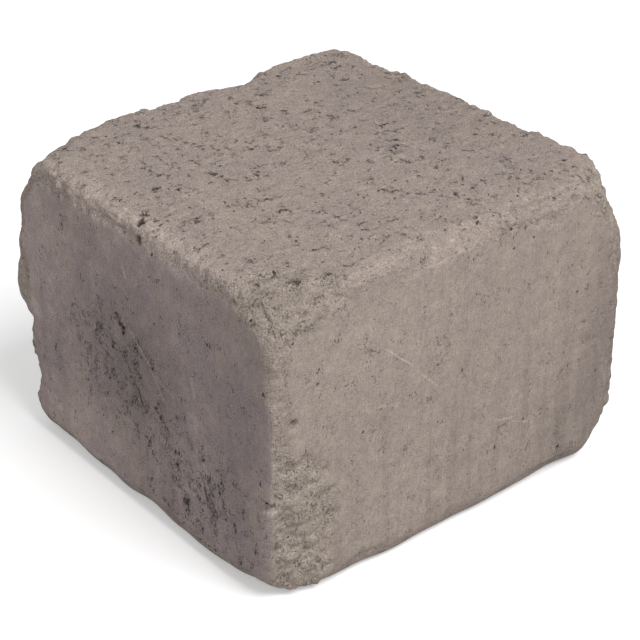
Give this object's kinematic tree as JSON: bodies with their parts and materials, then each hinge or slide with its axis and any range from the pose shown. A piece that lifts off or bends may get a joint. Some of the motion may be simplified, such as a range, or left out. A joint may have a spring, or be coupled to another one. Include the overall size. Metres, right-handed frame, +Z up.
{
  "type": "tumbled concrete wall block",
  "caption": "Solid concrete wall block with worn arrises, knocked corners and chipped edges, laid dry or in mortar in a garden wall.",
  "frame": {"origin": "middle of the bed face, the flat face that the block rests on", "axes": "+X along the block's length, -Y out of its front face, +Z up through its height"},
  "size_m": [0.206, 0.2, 0.15],
  "materials": {
    "concrete": "dry cast concrete, matt and porous, with paler worn arrises"
  },
  "bodies": {
    "root": {"wall_block": "concrete"}
  },
  "joints": []
}
